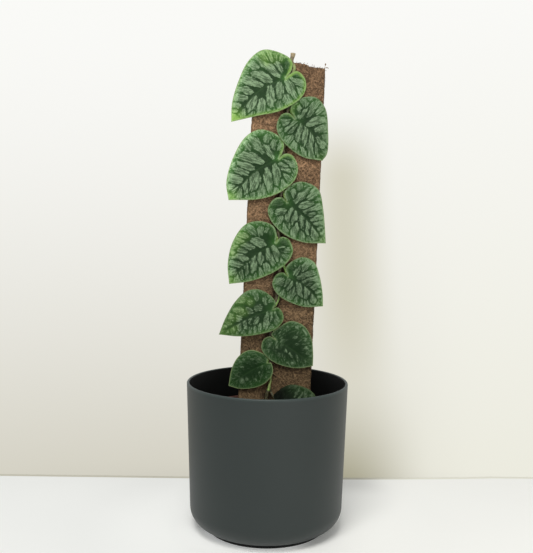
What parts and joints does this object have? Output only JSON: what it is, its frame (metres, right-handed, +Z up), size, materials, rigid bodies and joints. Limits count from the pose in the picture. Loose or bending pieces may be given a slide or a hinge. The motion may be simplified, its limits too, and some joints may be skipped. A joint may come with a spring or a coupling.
{
  "type": "potted shingle plant",
  "caption": "Shingle plant with variegated heart-shaped leaves climbing flat up a coir board, standing in a nursery pot inside a round cover pot.",
  "frame": {"origin": "centre of the cover pot's flat base", "axes": "+Z up, -Y towards the viewer whom the leaves face, +X to the viewer's right"},
  "size_m": [0.183, 0.183, 0.548],
  "materials": {
    "cover_pot": "matt anthracite moulded plastic",
    "nursery_pot": "terracotta-coloured thin plastic",
    "potting_mix": "loose dark potting mix",
    "coir_board": "pressed coconut fibre",
    "vine_stem": "green-brown living stem",
    "leaf_01": "satin living leaf",
    "leaf_02": "satin living leaf",
    "leaf_03": "satin living leaf",
    "leaf_04": "satin living leaf",
    "leaf_05": "satin living leaf",
    "leaf_06": "satin living leaf",
    "leaf_07": "satin living leaf",
    "leaf_08": "satin living leaf",
    "leaf_09": "satin living leaf",
    "leaf_10": "satin living leaf"
  },
  "bodies": {
    "root": {"cover_pot": "cover_pot", "nursery_pot": "nursery_pot", "potting_mix": "potting_mix", "coir_board": "coir_board", "vine_stem": "vine_stem", "leaf_01": "leaf_01", "leaf_02": "leaf_02", "leaf_03": "leaf_03", "leaf_04": "leaf_04", "leaf_05": "leaf_05", "leaf_06": "leaf_06", "leaf_07": "leaf_07", "leaf_08": "leaf_08", "leaf_09": "leaf_09", "leaf_10": "leaf_10"}
  },
  "joints": []
}
